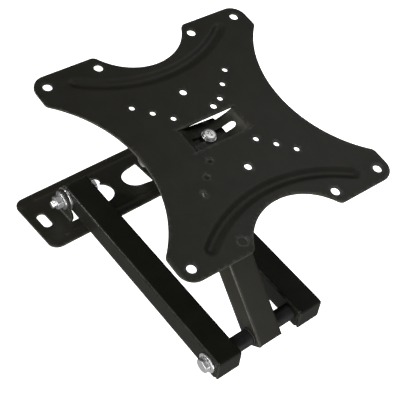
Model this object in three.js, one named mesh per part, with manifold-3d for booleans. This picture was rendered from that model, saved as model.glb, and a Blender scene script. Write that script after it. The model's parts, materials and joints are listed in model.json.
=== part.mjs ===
// Full motion TV wall mount, double-arm type for small screens.
// Millimetres, +Z up. The wall is the plane Y = 0 and the screen is on the -Y side.
// The origin is the middle of the wall plate's back face.
import * as THREE from 'three';
import * as BufferGeometryUtils from 'three/addons/utils/BufferGeometryUtils.js';
import Module from 'manifold-3d';

// ---------------------------------------------------------------- driving dimensions

const CLEARANCE = 0.3;

// wall plate
const WALL_WIDTH = 81;
const WALL_HEIGHT = 204;
const WALL_SHEET = 2.5;
const WALL_CORNER = 10;
const WALL_BEAD_X = 31;
const WALL_BEAD_HALF_LENGTH = 82;
const WALL_BEAD_HALF_WIDTH = 3.4;
const WALL_BEAD_RISE = 1.2;
const SCREW_SLOT_Z = 88.5;
const SCREW_SLOT_LENGTH = 22;
const SCREW_SLOT_WIDTH = 9.4;
const D_OPENING_FLAT_Z = 33.5;
const D_OPENING_X = -1;
const D_OPENING_ROUND_Z = 7.6;
const D_OPENING_FLAT_HALF = 17;
const D_OPENING_RADIUS = 15;
const NECK_X = 17;
const NECK_Z = 18.5;
const NECK_RADIUS = 6.4;

// wall pivots, on ears that stand up from the plate
const PIVOT_X = -3;
const PIVOT_HEIGHT = 17.8;
const EAR_SHEET = WALL_SHEET;
const EAR_HALF_WIDTH = 15;
const EAR_TIP_RADIUS = 11;
const EAR_BEND = 3;
const LANCE_DEPTH = 27;

// arms: U channels of one section
const ARM_SECTION_WIDTH = 27;
const ARM_SECTION_DEPTH = 24;
const ARM_SHEET = 2;
const ARM_BEND = 2.6;
const ARM_OUTER_FACE_Z = 61.4;
const FIRST_ARM_LENGTH = 230;
const SECOND_ARM_LENGTH = 162.2;
const ARM_WALL_END = 9;
const ARM_FLAP_END = 14;
const SECOND_ARM_ELBOW_END = 10.5;
const SECOND_ARM_HEAD_END = 11;

// rest pose
const FIRST_ARM_ANGLE = 173;
const SECOND_ARM_ANGLE = -55.5;
const HEAD_ANGLE = -14.42;
const TILT_ANGLE = 3.36;

// fasteners
const SHANK_RADIUS = 3.9;
const SHANK_HOLE_RADIUS = 4.3;
const HEX_FLATS = 13;
const BOLT_HEAD_HEIGHT = 5.3;
const NUT_HEIGHT = 6.5;
const SMALL_WASHER_RADIUS = 10;
const NARROW_WASHER_RADIUS = 9;
const SMALL_WASHER_THICKNESS = 1.6;
const EAR_WASHER_RADIUS = 12;
const EAR_WASHER_THICKNESS = 2.4;
const THREAD_STUB = 4.4;
const SHORT_THREAD_STUB = 3;
const TUBE_RADIUS = 8.1;
const NYLON_RADIUS = 9;
const NYLON_THICKNESS = 1;

// head bracket
const HEAD_TO_PLATE = 50;
const PAD_ANGLE = 8.86;
const PAD_HALF_WIDTH = 18;
const BRACKET_SHEET = 3;
const BRACKET_HALF_GAP = 18.7;
const BRACKET_BACK = 11;

// VESA plate
const VESA_HALF = 112;
const VESA_SHEET = 2;
const VESA_SIDE_ARC_CENTRE = 186.6;
const VESA_SIDE_ARC_RADIUS = 111.6;
const VESA_END_ARC_CENTRE = 134.5;
const VESA_END_ARC_RADIUS = 52;
const VESA_CORNER_RADIUS = 14;
const VESA_TIP_RADIUS = 6;
const BEAD_ARC_CENTRE = 201;
const BEAD_ARC_RADIUS = 132;
const BEAD_HALF_ANGLE = 35.5;
const BEAD_HALF_WIDTH = 6.2;
const BEAD_DEPTH = 1.8;
const STRIP_HALF_LENGTH = 30;
const STRIP_HALF_WIDTH = 12.3;
const STRIP_RADIUS = 50;
const STRIP_DEPTH = 10;
const STRIP_SHEET = 2;
const TILT_SLOT_HALF_LENGTH = 22.6;
const TILT_SLOT_HALF_WIDTH = 3.35;
const TILT_SHANK_RADIUS = 2.9;
const TILT_HEAD_RADIUS = 6;
const TILT_HEAD_HEIGHT = 2.6;
const TILT_RECESS_DEPTH = 1.2;
const TILT_WASHER_RADIUS = 6.6;
const TILT_WASHER_THICKNESS = 1;

// ---------------------------------------------------------------- solids

const wasm = await Module();
wasm.setup();

function solid(geometry) {
  const bare = geometry.index ? geometry.toNonIndexed() : geometry.clone();
  bare.deleteAttribute('normal');
  bare.deleteAttribute('uv');
  const merged = BufferGeometryUtils.mergeVertices(bare, 1e-4);
  return new wasm.Manifold(new wasm.Mesh({
    numProp: 3,
    vertProperties: new Float32Array(merged.attributes.position.array),
    triVerts: new Uint32Array(merged.index.array),
  }));
}

function toGeometry(body) {
  const mesh = body.getMesh();
  const geometry = new THREE.BufferGeometry();
  geometry.setAttribute('position', new THREE.BufferAttribute(new Float32Array(mesh.vertProperties), 3));
  geometry.setIndex(new THREE.BufferAttribute(new Uint32Array(mesh.triVerts), 1));
  geometry.computeVertexNormals();
  return geometry;
}

const degrees = (angle) => (angle * Math.PI) / 180;

// A prism along Z of a shape in X and Y, between two levels.
function prism(shape, from, to, curveSegments = 12) {
  const depth = to - from;
  const geometry = new THREE.ExtrudeGeometry(shape, { depth, bevelEnabled: false, curveSegments });
  geometry.translate(0, 0, from);
  return solid(geometry);
}

function block(x0, x1, y0, y1, z0, z1) {
  const geometry = new THREE.BoxGeometry(x1 - x0, y1 - y0, z1 - z0);
  geometry.translate((x0 + x1) / 2, (y0 + y1) / 2, (z0 + z1) / 2);
  return solid(geometry);
}

// A cylinder about an axis through (a, b), from one level to another.
function rod(axis, a, b, radius, from, to, segments = 32) {
  const geometry = new THREE.CylinderGeometry(radius, radius, to - from, segments);
  const middle = (from + to) / 2;
  if (axis === 'z') {
    geometry.rotateX(Math.PI / 2);
    geometry.translate(a, b, middle);
  } else if (axis === 'y') {
    geometry.translate(a, middle, b);
  } else {
    geometry.rotateZ(Math.PI / 2);
    geometry.translate(middle, a, b);
  }
  return solid(geometry);
}

function joined(first, ...others) {
  return others.reduce((sum, body) => sum.add(body), first);
}

function cut(first, ...others) {
  return others.reduce((rest, body) => rest.subtract(body), first);
}

function circleShape(radius, x = 0, y = 0) {
  const shape = new THREE.Shape();
  shape.absarc(x, y, radius, 0, Math.PI * 2, false);
  return shape;
}

// A polygon whose corners are rounded: each point is [x, y, radius].
function roundedShape(points) {
  const shape = new THREE.Shape();
  const count = points.length;
  points.forEach(([x, y, radius], index) => {
    const corner = new THREE.Vector2(x, y);
    const before = new THREE.Vector2(...points[(index + count - 1) % count].slice(0, 2)).sub(corner);
    const after = new THREE.Vector2(...points[(index + 1) % count].slice(0, 2)).sub(corner);
    const half = Math.acos(before.dot(after) / (before.length() * after.length())) / 2;
    const back = Math.min(radius / Math.tan(half), before.length() * 0.499, after.length() * 0.499);
    const start = corner.clone().addScaledVector(before.normalize(), back);
    const end = corner.clone().addScaledVector(after.normalize(), back);
    if (index === 0) {
      shape.moveTo(start.x, start.y);
    } else {
      shape.lineTo(start.x, start.y);
    }
    if (radius > 0) {
      shape.quadraticCurveTo(x, y, end.x, end.y);
    }
  });
  shape.closePath();
  return shape;
}

function rectangleShape(x0, x1, y0, y1, radius = 0) {
  return roundedShape([[x0, y0, radius], [x1, y0, radius], [x1, y1, radius], [x0, y1, radius]]);
}

// An oblong slot, long along its first direction.
function slotShape(x, y, halfLength, halfWidth, alongY = false) {
  const shape = new THREE.Shape();
  const reach = halfLength - halfWidth;
  if (alongY) {
    shape.absarc(x, y + reach, halfWidth, 0, Math.PI, false);
    shape.absarc(x, y - reach, halfWidth, Math.PI, Math.PI * 2, false);
  } else {
    shape.absarc(x + reach, y, halfWidth, -Math.PI / 2, Math.PI / 2, false);
    shape.absarc(x - reach, y, halfWidth, Math.PI / 2, Math.PI * 1.5, false);
  }
  shape.closePath();
  return shape;
}

// ---------------------------------------------------------------- materials

const FINISHES = {
  paint: { color: 0x2b2a27, roughness: 0.55, metalness: 0.15 },
  zinc: { color: 0xb9bcbe, roughness: 0.32, metalness: 0.95 },
  tube: { color: 0x1f2023, roughness: 0.35, metalness: 0.3 },
  nylon: { color: 0x17181a, roughness: 0.6, metalness: 0.0 },
};

function piece(name, body, finish) {
  const mesh = new THREE.Mesh(toGeometry(body), new THREE.MeshStandardMaterial(FINISHES[finish]));
  mesh.name = name;
  return mesh;
}

// ---------------------------------------------------------------- wall plate

// The plate is drawn in X and Z. Plate prisms run in Y from the front face to the wall.
const WALL_FRONT = -WALL_SHEET;
const PIVOT_Y = WALL_FRONT - PIVOT_HEIGHT;
const EAR_INNER_Z = ARM_OUTER_FACE_Z + EAR_WASHER_THICKNESS + CLEARANCE * 2;
const EAR_OUTER_Z = EAR_INNER_Z + EAR_SHEET;

// A prism through the plate: shape in X and Z, between two Y levels.
function plateCut(shape, fromY, toY, curveSegments = 10) {
  return prism(shape, -toY, -fromY, curveSegments).rotate([90, 0, 0]);
}

function wallBead(x) {
  const rise = WALL_BEAD_RISE;
  const halfWidth = WALL_BEAD_HALF_WIDTH;
  const radius = (halfWidth * halfWidth + rise * rise) / (2 * rise);
  const centreY = WALL_FRONT - rise + radius;
  const straight = WALL_BEAD_HALF_LENGTH - halfWidth;
  const ridge = rod('z', x, centreY, radius, -straight, straight, 32);
  const groove = rod('z', x, centreY + WALL_SHEET * 0.8, radius, -straight, straight, 32);
  const clip = block(x - halfWidth * 2, x + halfWidth * 2, WALL_FRONT - rise, -0.5, -straight, straight);
  const caps = [];
  const hollows = [];
  for (const end of [-straight, straight]) {
    const cap = new THREE.SphereGeometry(radius, 32, 20);
    cap.translate(x, centreY, end);
    caps.push(solid(cap).intersect(rod('y', x, end, halfWidth, WALL_FRONT - rise, -0.5, 24)));
    const hollow = new THREE.SphereGeometry(radius, 24, 16);
    hollow.translate(x, centreY + WALL_SHEET * 0.8, end);
    hollows.push(solid(hollow).intersect(rod('y', x, end, halfWidth, WALL_FRONT - rise, 1, 24)));
  }
  const grooveClip = block(x - halfWidth, x + halfWidth, WALL_FRONT - rise, 1, -straight, straight);
  return {
    raised: joined(ridge.intersect(clip), ...caps),
    sunk: joined(groove.intersect(grooveClip), ...hollows),
  };
}

function dOpening(side) {
  const flat = side * D_OPENING_FLAT_Z;
  const centre = side * (D_OPENING_ROUND_Z + D_OPENING_RADIUS);
  const round = circleShape(D_OPENING_RADIUS, D_OPENING_X, centre);
  const near = D_OPENING_RADIUS * 0.97;
  const lift = D_OPENING_RADIUS * 0.24;
  const taper = roundedShape([
    [D_OPENING_X - D_OPENING_FLAT_HALF, flat, 1.2],
    [D_OPENING_X - near, centre - side * lift, 0],
    [D_OPENING_X + near, centre - side * lift, 0],
    [D_OPENING_X + D_OPENING_FLAT_HALF, flat, 1.2],
  ]);
  return joined(plateCut(round, -10, 5, 36), plateCut(taper, -10, 5));
}

// An ear: its face is drawn in X and Y, and a quarter bend joins it to the plate.
function ear(side) {
  const tipY = PIVOT_Y;
  const face = roundedShape([
    [PIVOT_X - EAR_HALF_WIDTH, -0.6, 0],
    [PIVOT_X + EAR_HALF_WIDTH, -0.6, 0],
    [PIVOT_X + EAR_HALF_WIDTH, tipY + 6, 9],
    [PIVOT_X + EAR_TIP_RADIUS * 0.8, tipY - EAR_TIP_RADIUS, 8],
    [PIVOT_X - EAR_TIP_RADIUS * 0.8, tipY - EAR_TIP_RADIUS, 8],
    [PIVOT_X - EAR_HALF_WIDTH, tipY + 6, 9],
  ]);
  const inner = side * EAR_INNER_Z;
  const outer = side * EAR_OUTER_Z;
  const upright = prism(face, Math.min(inner, outer), Math.max(inner, outer), 8);
  const x0 = PIVOT_X - EAR_HALF_WIDTH;
  const x1 = PIVOT_X + EAR_HALF_WIDTH;
  const far = side * (EAR_OUTER_Z + EAR_BEND);
  const low = Math.min(outer, far);
  const high = Math.max(outer, far);
  const fillet = block(x0, x1, WALL_FRONT - EAR_BEND, WALL_FRONT + 1, low, high);
  const hollow = rod('x', WALL_FRONT - EAR_BEND, far, EAR_BEND, x0 - 1, x1 + 1, 24);
  const bend = cut(fillet, hollow);
  const hole = rod('z', PIVOT_X, PIVOT_Y, SHANK_HOLE_RADIUS, -100, 100, 32);
  return joined(upright, bend).subtract(hole);
}

function lanceOpening(side) {
  const start = side * (EAR_INNER_Z + 0.05);
  const end = side * (EAR_INNER_Z - LANCE_DEPTH);
  const shape = rectangleShape(
    PIVOT_X - EAR_HALF_WIDTH - 0.3, PIVOT_X + EAR_HALF_WIDTH + 0.3,
    Math.min(start, end), Math.max(start, end), 3,
  );
  const relief = [-1, 1].map((edge) => {
    const x = PIVOT_X + edge * (EAR_HALF_WIDTH + 0.9);
    const z0 = side * (EAR_INNER_Z - 4);
    const z1 = side * (EAR_OUTER_Z + EAR_BEND);
    return block(x - 0.9, x + 0.9, -6, 3, Math.min(z0, z1), Math.max(z0, z1));
  });
  return joined(plateCut(shape, -6, 5), ...relief);
}

function wallPlate() {
  const outline = rectangleShape(
    -WALL_WIDTH / 2, WALL_WIDTH / 2, -WALL_HEIGHT / 2, WALL_HEIGHT / 2, WALL_CORNER,
  );
  let body = plateCut(outline, WALL_FRONT, 0);
  for (const x of [-WALL_BEAD_X, WALL_BEAD_X]) {
    const bead = wallBead(x);
    body = body.add(bead.raised).subtract(bead.sunk);
  }
  for (const side of [-1, 1]) {
    const slot = slotShape(0, side * SCREW_SLOT_Z, SCREW_SLOT_LENGTH / 2, SCREW_SLOT_WIDTH / 2);
    body = cut(body, plateCut(slot, -10, 5), dOpening(side), lanceOpening(side));
    body = body.add(ear(side));
  }
  const neck = circleShape(NECK_RADIUS, NECK_X, NECK_Z);
  return body.subtract(plateCut(neck, -10, 5, 24));
}

// ---------------------------------------------------------------- fasteners

function hexHead(x, y, flats, from, to) {
  const radius = flats / 2 / Math.cos(Math.PI / 6);
  const prismBody = rod('z', x, y, radius, from, to, 6);
  const height = to - from;
  const profile = [
    new THREE.Vector2(0, from - 0.01),
    new THREE.Vector2(flats / 2 * 0.97, from - 0.01),
    new THREE.Vector2(radius + 0.2, from + height * 0.16),
    new THREE.Vector2(radius + 0.2, to - height * 0.16),
    new THREE.Vector2(flats / 2 * 0.97, to + 0.01),
    new THREE.Vector2(0, to + 0.01),
  ];
  const chamfer = new THREE.LatheGeometry(profile, 24);
  chamfer.rotateX(Math.PI / 2);
  chamfer.translate(x, y, 0);
  return prismBody.intersect(solid(chamfer));
}

// A ring about the Z axis.
function ring(x, y, outer, inner, from, to, segments = 36) {
  return rod('z', x, y, outer, from, to, segments).subtract(rod('z', x, y, inner, from - 1, to + 1, 24));
}

// A bolt along Z with its hex head at one level and its tip at another.
function bolt(x, y, headFrom, headTo, tip) {
  const head = hexHead(x, y, HEX_FLATS, Math.min(headFrom, headTo), Math.max(headFrom, headTo));
  const root = (headFrom + headTo) / 2;
  const shank = rod('z', x, y, SHANK_RADIUS, Math.min(root, tip), Math.max(root, tip), 24);
  const bevel = ring(x, y, SHANK_RADIUS + 1, SHANK_RADIUS - 0.8, tip - 0.5, tip + 0.5, 24);
  return joined(head, shank).subtract(bevel);
}

function nut(x, y, from, to) {
  const bore = rod('z', x, y, SHANK_RADIUS + CLEARANCE, from - 1, to + 1, 24);
  return hexHead(x, y, HEX_FLATS, from, to).subtract(bore);
}

// The stack on one wall pivot, from the arm's inner face outwards.
function wallPivotStack(side, label) {
  const levels = {};
  levels.headNear = ARM_OUTER_FACE_Z - ARM_SECTION_WIDTH - CLEARANCE;
  levels.headFar = levels.headNear - BOLT_HEAD_HEIGHT;
  levels.earWasher = ARM_OUTER_FACE_Z + CLEARANCE;
  levels.outerWasher = EAR_OUTER_Z + CLEARANCE;
  levels.nut = levels.outerWasher + SMALL_WASHER_THICKNESS + CLEARANCE;
  levels.tip = levels.nut + NUT_HEIGHT + THREAD_STUB;
  const span = (a, b) => [Math.min(side * a, side * b), Math.max(side * a, side * b)];
  const washer = (radius, from, thickness) =>
    ring(PIVOT_X, PIVOT_Y, radius, SHANK_HOLE_RADIUS, ...span(from, from + thickness));
  return [
    piece(`wall_pivot_bolt_${label}`,
      bolt(PIVOT_X, PIVOT_Y, side * levels.headFar, side * levels.headNear, side * levels.tip), 'zinc'),
    piece(`wall_pivot_nut_${label}`,
      nut(PIVOT_X, PIVOT_Y, ...span(levels.nut, levels.nut + NUT_HEIGHT)), 'zinc'),
    piece(`wall_pivot_outer_washer_${label}`,
      washer(SMALL_WASHER_RADIUS, levels.outerWasher, SMALL_WASHER_THICKNESS), 'zinc'),
    piece(`wall_pivot_ear_washer_${label}`,
      washer(EAR_WASHER_RADIUS, levels.earWasher, EAR_WASHER_THICKNESS), 'zinc'),
  ];
}

// ---------------------------------------------------------------- arms

// A U channel along X with its web on the +Y side: the profile is its outline in X and Y.
function channel(profile, zMiddle, cavity) {
  const half = ARM_SECTION_WIDTH / 2;
  const depth = ARM_SECTION_DEPTH / 2;
  const plan = prism(profile, zMiddle - half, zMiddle + half, 8);
  const section = roundedShape([
    [zMiddle - half, depth, ARM_BEND],
    [zMiddle + half, depth, ARM_BEND],
    [zMiddle + half, -depth - 5, 0],
    [zMiddle - half, -depth - 5, 0],
  ]);
  const run = new THREE.ExtrudeGeometry(section, { depth: 400, bevelEnabled: false, curveSegments: 4 });
  run.applyMatrix4(new THREE.Matrix4().set(0, 0, 1, -100, 0, 1, 0, 0, -1, 0, 0, 0, 0, 0, 0, 1));
  run.translate(0, 0, zMiddle * 2);
  const inside = block(cavity[0], cavity[1], -depth - 5, depth - ARM_SHEET,
    zMiddle - half + ARM_SHEET, zMiddle + half - ARM_SHEET);
  return plan.intersect(solid(run)).subtract(inside);
}

// The lower arm keeps its outer flange whole at the elbow, where the nut sits inside the channel.
function firstArm(side) {
  const depth = ARM_SECTION_DEPTH / 2;
  const end = FIRST_ARM_LENGTH + ARM_FLAP_END;
  const profile = roundedShape([
    [-ARM_WALL_END, depth, 4],
    [-ARM_WALL_END - 1, -depth, 10],
    [end, -depth, 2],
    [end, depth, 2.6],
  ]);
  const middle = side * (ARM_OUTER_FACE_Z - ARM_SECTION_WIDTH / 2);
  const body = channel(profile, middle, [-30, end - ARM_SHEET]);
  const pivotHole = rod('z', 0, 0, SHANK_HOLE_RADIUS, -100, 100, 32);
  const elbowHole = rod('z', FIRST_ARM_LENGTH, 0, SHANK_HOLE_RADIUS, -ARM_OUTER_FACE_Z + 10, 100, 32);
  return cut(body, pivotHole, elbowHole);
}

// The web of the second arm is on its -Y side, so the channel is turned over.
function secondArm() {
  const depth = ARM_SECTION_DEPTH / 2;
  const headEnd = SECOND_ARM_LENGTH + SECOND_ARM_HEAD_END;
  const profile = roundedShape([
    [-SECOND_ARM_ELBOW_END, depth, 0.8],
    [-SECOND_ARM_ELBOW_END, -depth, 10],
    [headEnd, -depth, 10],
    [headEnd, depth, 3],
  ]);
  const body = channel(profile, 0, [-60, headEnd + 60]);
  const holes = [0, SECOND_ARM_LENGTH].map((x) => rod('z', x, 0, SHANK_HOLE_RADIUS, -100, 100, 32));
  return cut(body, ...holes).scale([1, -1, 1]);
}

function elbowParts() {
  const x = FIRST_ARM_LENGTH;
  const outer = ARM_OUTER_FACE_Z + CLEARANCE;
  const washerTop = outer + SMALL_WASHER_THICKNESS;
  const headNear = washerTop + CLEARANCE;
  const armInner = ARM_OUTER_FACE_Z - ARM_SECTION_WIDTH;
  const hiddenWasher = armInner + ARM_SHEET + CLEARANCE;
  const hiddenNut = hiddenWasher + SMALL_WASHER_THICKNESS + CLEARANCE;
  const tip = -hiddenNut - NUT_HEIGHT - SHORT_THREAD_STUB;
  const nylonFrom = ARM_SECTION_WIDTH / 2 + CLEARANCE;
  const nylonTo = nylonFrom + NYLON_THICKNESS;
  const tubeFrom = nylonTo + CLEARANCE;
  const tubeTo = armInner - CLEARANCE;
  const hole = SHANK_HOLE_RADIUS;
  const lowerWasher = ring(x, 0, NARROW_WASHER_RADIUS, hole, CLEARANCE - hiddenNut, -hiddenWasher);
  return [
    piece('elbow_bolt', bolt(x, 0, headNear + BOLT_HEAD_HEIGHT, headNear, tip), 'zinc'),
    piece('elbow_nut', nut(x, 0, -hiddenNut - NUT_HEIGHT, -hiddenNut), 'zinc'),
    piece('elbow_washer_upper', ring(x, 0, SMALL_WASHER_RADIUS, hole, outer, washerTop), 'zinc'),
    piece('elbow_washer_lower', lowerWasher, 'zinc'),
    piece('elbow_tube_upper', ring(x, 0, TUBE_RADIUS, hole, tubeFrom, tubeTo), 'tube'),
    piece('elbow_tube_lower', ring(x, 0, TUBE_RADIUS, hole, -tubeTo, -tubeFrom), 'tube'),
    piece('elbow_nylon_upper', ring(x, 0, NYLON_RADIUS, hole, nylonFrom, nylonTo), 'nylon'),
    piece('elbow_nylon_lower', ring(x, 0, NYLON_RADIUS, hole, -nylonTo, -nylonFrom), 'nylon'),
  ];
}

function armSleeve(name, x) {
  const inside = ARM_SECTION_WIDTH / 2 - ARM_SHEET - CLEARANCE;
  return piece(name, ring(x, 0, TUBE_RADIUS - 0.6, SHANK_HOLE_RADIUS, -inside, inside, 28), 'zinc');
}

// ---------------------------------------------------------------- head

// The tilt centre: the middle of the arched strip's circle, in the head's frame.
const TILT_CENTRE_Y = -HEAD_TO_PLATE - (STRIP_RADIUS - STRIP_DEPTH) * Math.cos(degrees(TILT_ANGLE));
const TILT_CENTRE_Z = -5.27 - (STRIP_RADIUS - STRIP_DEPTH) * Math.sin(degrees(TILT_ANGLE));
const PAD_FRONT = STRIP_RADIUS + STRIP_SHEET / 2 + CLEARANCE;

// A point of the pad's section: distance out from the tilt centre and height along the pad.
function padPoint(out, up) {
  const c = Math.cos(degrees(PAD_ANGLE));
  const s = Math.sin(degrees(PAD_ANGLE));
  return [TILT_CENTRE_Y + out * c - up * s, TILT_CENTRE_Z + out * s + up * c];
}

// Height along the pad where it meets a level of Z, at a distance out.
function padHeight(out, z) {
  const c = Math.cos(degrees(PAD_ANGLE));
  const s = Math.sin(degrees(PAD_ANGLE));
  return (z - TILT_CENTRE_Z - out * s) / c;
}

function headBracket() {
  const outerZ = BRACKET_HALF_GAP + BRACKET_SHEET;
  const back = PAD_FRONT + BRACKET_SHEET;
  const at = (out, z) => padPoint(out, padHeight(out, z));
  const section = roundedShape([
    [...at(PAD_FRONT, outerZ), 4],
    [BRACKET_BACK, outerZ, 0],
    [BRACKET_BACK, BRACKET_HALF_GAP, 0],
    [...at(back, BRACKET_HALF_GAP), 1.4],
    [...at(back, -BRACKET_HALF_GAP), 1.4],
    [BRACKET_BACK, -BRACKET_HALF_GAP, 0],
    [BRACKET_BACK, -outerZ, 0],
    [...at(PAD_FRONT, -outerZ), 4],
  ]);
  const depth = PAD_HALF_WIDTH * 2;
  const run = new THREE.ExtrudeGeometry(section, { depth, bevelEnabled: false, curveSegments: 5 });
  const turn = new THREE.Matrix4().set(0, 0, 1, -PAD_HALF_WIDTH, 1, 0, 0, 0, 0, 1, 0, 0, 0, 0, 0, 1);
  run.applyMatrix4(turn);
  const plan = roundedShape([
    [-PAD_HALF_WIDTH, -60, 0],
    [PAD_HALF_WIDTH, -60, 0],
    [PAD_HALF_WIDTH, -24, 6],
    [BRACKET_BACK + 1, -6, 6],
    [BRACKET_BACK + 1, BRACKET_BACK, 9],
    [-BRACKET_BACK - 1, BRACKET_BACK, 9],
    [-BRACKET_BACK - 1, -6, 6],
    [-PAD_HALF_WIDTH, -24, 6],
  ]);
  const pin = rod('z', 0, 0, SHANK_HOLE_RADIUS, -50, 50, 32);
  const tiltHole = onPadAxis(rod('y', 0, 0, TILT_SHANK_RADIUS + CLEARANCE, 30, 80, 24));
  return cut(solid(run).intersect(prism(plan, -50, 50, 6)), pin, tiltHole);
}

// Moves a body made along +Y from the tilt centre on to the tilt bolt's axis.
function onPadAxis(body) {
  return body.rotate([PAD_ANGLE, 0, 0]).translate([0, TILT_CENTRE_Y, TILT_CENTRE_Z]);
}

function yRing(outer, inner, from, to) {
  return rod('y', 0, 0, outer, from, to, 28).subtract(rod('y', 0, 0, inner, from - 1, to + 1, 20));
}

function tiltParts() {
  const washerBack = STRIP_RADIUS - STRIP_SHEET / 2 - 0.75;
  const headBack = washerBack - TILT_WASHER_THICKNESS - CLEARANCE;
  const lockFront = PAD_FRONT + BRACKET_SHEET + CLEARANCE;
  const nutFront = lockFront + TILT_WASHER_THICKNESS + CLEARANCE;
  const nutBack = nutFront + 4.8;
  const dome = new THREE.LatheGeometry([
    new THREE.Vector2(0, 0),
    new THREE.Vector2(TILT_HEAD_RADIUS, 0),
    new THREE.Vector2(TILT_HEAD_RADIUS, -TILT_HEAD_HEIGHT * 0.45),
    new THREE.Vector2(TILT_HEAD_RADIUS * 0.82, -TILT_HEAD_HEIGHT * 0.82),
    new THREE.Vector2(TILT_HEAD_RADIUS * 0.45, -TILT_HEAD_HEIGHT),
    new THREE.Vector2(0, -TILT_HEAD_HEIGHT),
  ].reverse(), 28);
  dome.translate(0, headBack, 0);
  const recessFloor = headBack - TILT_HEAD_HEIGHT + TILT_RECESS_DEPTH;
  const recess = joined(
    block(-0.7, 0.7, headBack - 6, recessFloor, -3.2, 3.2),
    block(-3.2, 3.2, headBack - 6, recessFloor, -0.7, 0.7),
  );
  const shank = rod('y', 0, 0, TILT_SHANK_RADIUS, headBack - 0.5, nutBack + 2, 20);
  const hex = rod('y', 0, 0, 5.77, nutFront, nutBack, 6);
  const nutBody = hex.subtract(rod('y', 0, 0, TILT_SHANK_RADIUS + CLEARANCE, 0, 90, 20));
  const hole = TILT_SHANK_RADIUS + CLEARANCE;
  return [
    piece('tilt_bolt', onPadAxis(joined(solid(dome), shank).subtract(recess)), 'zinc'),
    piece('tilt_washer_front',
      onPadAxis(yRing(TILT_WASHER_RADIUS, hole, washerBack - TILT_WASHER_THICKNESS, washerBack)), 'zinc'),
    piece('tilt_washer_back',
      onPadAxis(yRing(TILT_WASHER_RADIUS, hole, lockFront, lockFront + TILT_WASHER_THICKNESS)), 'zinc'),
    piece('tilt_nut', onPadAxis(nutBody), 'zinc'),
  ];
}

function headPinParts() {
  const washer = BRACKET_HALF_GAP + BRACKET_SHEET + CLEARANCE;
  const near = washer + SMALL_WASHER_THICKNESS + CLEARANCE;
  const tip = -near - NUT_HEIGHT - SHORT_THREAD_STUB;
  const nylonFrom = ARM_SECTION_WIDTH / 2 + CLEARANCE;
  const nylonTo = BRACKET_HALF_GAP - CLEARANCE;
  const hole = SHANK_HOLE_RADIUS;
  return [
    piece('head_pin', bolt(0, 0, near + BOLT_HEAD_HEIGHT, near, tip), 'zinc'),
    piece('head_pin_nut', nut(0, 0, -near - NUT_HEIGHT, -near), 'zinc'),
    piece('head_washer_upper', ring(0, 0, NARROW_WASHER_RADIUS, hole, washer, near - CLEARANCE), 'zinc'),
    piece('head_washer_lower', ring(0, 0, NARROW_WASHER_RADIUS, hole, CLEARANCE - near, -washer), 'zinc'),
    piece('head_nylon_upper', ring(0, 0, NYLON_RADIUS, hole, nylonFrom, nylonTo), 'nylon'),
    piece('head_nylon_lower', ring(0, 0, NYLON_RADIUS, hole, -nylonTo, -nylonFrom), 'nylon'),
  ];
}

// ---------------------------------------------------------------- VESA plate

// The plate is drawn in X and Z with its front face at Y = 0 and its back at the sheet thickness.
function vesaOutline() {
  const shape = new THREE.Shape();
  const inner = VESA_HALF - VESA_CORNER_RADIUS;
  const tip = VESA_TIP_RADIUS;
  for (let quarter = 0; quarter < 4; quarter += 1) {
    const turn = (quarter * Math.PI) / 2;
    const centre = quarter % 2 === 1 ? VESA_SIDE_ARC_CENTRE : VESA_END_ARC_CENTRE;
    const radius = quarter % 2 === 1 ? VESA_SIDE_ARC_RADIUS : VESA_END_ARC_RADIUS;
    const across = centre - VESA_HALF + tip;
    const tipHeight = Math.sqrt((radius + tip) ** 2 - across ** 2);
    const angle = Math.atan2(tipHeight, across);
    const place = (x, y) => [
      x * Math.cos(turn) - y * Math.sin(turn),
      x * Math.sin(turn) + y * Math.cos(turn),
    ];
    shape.absarc(...place(VESA_HALF - tip, -tipHeight), tip, turn, turn + angle, false);
    shape.absarc(...place(centre, 0), radius, turn + Math.PI + angle, turn + Math.PI - angle, true);
    shape.absarc(...place(VESA_HALF - tip, tipHeight), tip, turn - angle, turn, false);
    shape.absarc(...place(inner, inner), VESA_CORNER_RADIUS, turn, turn + Math.PI / 2, false);
  }
  shape.closePath();
  return shape;
}

function vesaHoles() {
  const holes = [];
  const add = (x, z, radius) => holes.push(rod('y', x, z, radius, -5, 5, 18));
  for (const sx of [-1, 1]) {
    add(45 * sx, 0, 3.25);
    for (const sz of [-1, 1]) {
      add(100 * sx, 100 * sz, 4);
      add(100 * sx, 50 * sz, 4);
      add(50 * sx, 50 * sz, 2.5);
      add(37.5 * sx, 37.5 * sz, 2.5);
      add(25 * sx, 25 * sz, 2.5);
    }
  }
  add(20.5, -14.4, 2.9);
  return holes;
}

// A pressed groove along an arc, open to the front, with the sheet pushed out behind it.
function vesaBead(side) {
  const radius = (BEAD_HALF_WIDTH ** 2 + BEAD_DEPTH ** 2) / (2 * BEAD_DEPTH);
  const steps = 16;
  const points = [];
  for (let step = 0; step <= steps; step += 1) {
    const angle = degrees(BEAD_HALF_ANGLE) * (2 * step / steps - 1);
    const x = side * (BEAD_ARC_CENTRE - BEAD_ARC_RADIUS * Math.cos(angle));
    points.push(new THREE.Vector3(x, BEAD_DEPTH - radius, BEAD_ARC_RADIUS * Math.sin(angle)));
  }
  const path = new THREE.CatmullRomCurve3(points);
  const sweep = (r) => {
    const section = circleShape(r);
    const run = new THREE.ExtrudeGeometry(section, { steps, extrudePath: path, curveSegments: 24 });
    let body = solid(run);
    for (const end of [points[0], points[steps]]) {
      const cap = new THREE.SphereGeometry(r, 28, 18);
      cap.rotateX(Math.PI / 2);
      cap.translate(end.x, end.y, end.z);
      body = body.add(solid(cap));
    }
    return body;
  };
  const behind = block(-120, 120, VESA_SHEET - 0.5, 20, -120, 120);
  return { ridge: sweep(radius + VESA_SHEET).intersect(behind), groove: sweep(radius) };
}

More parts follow.
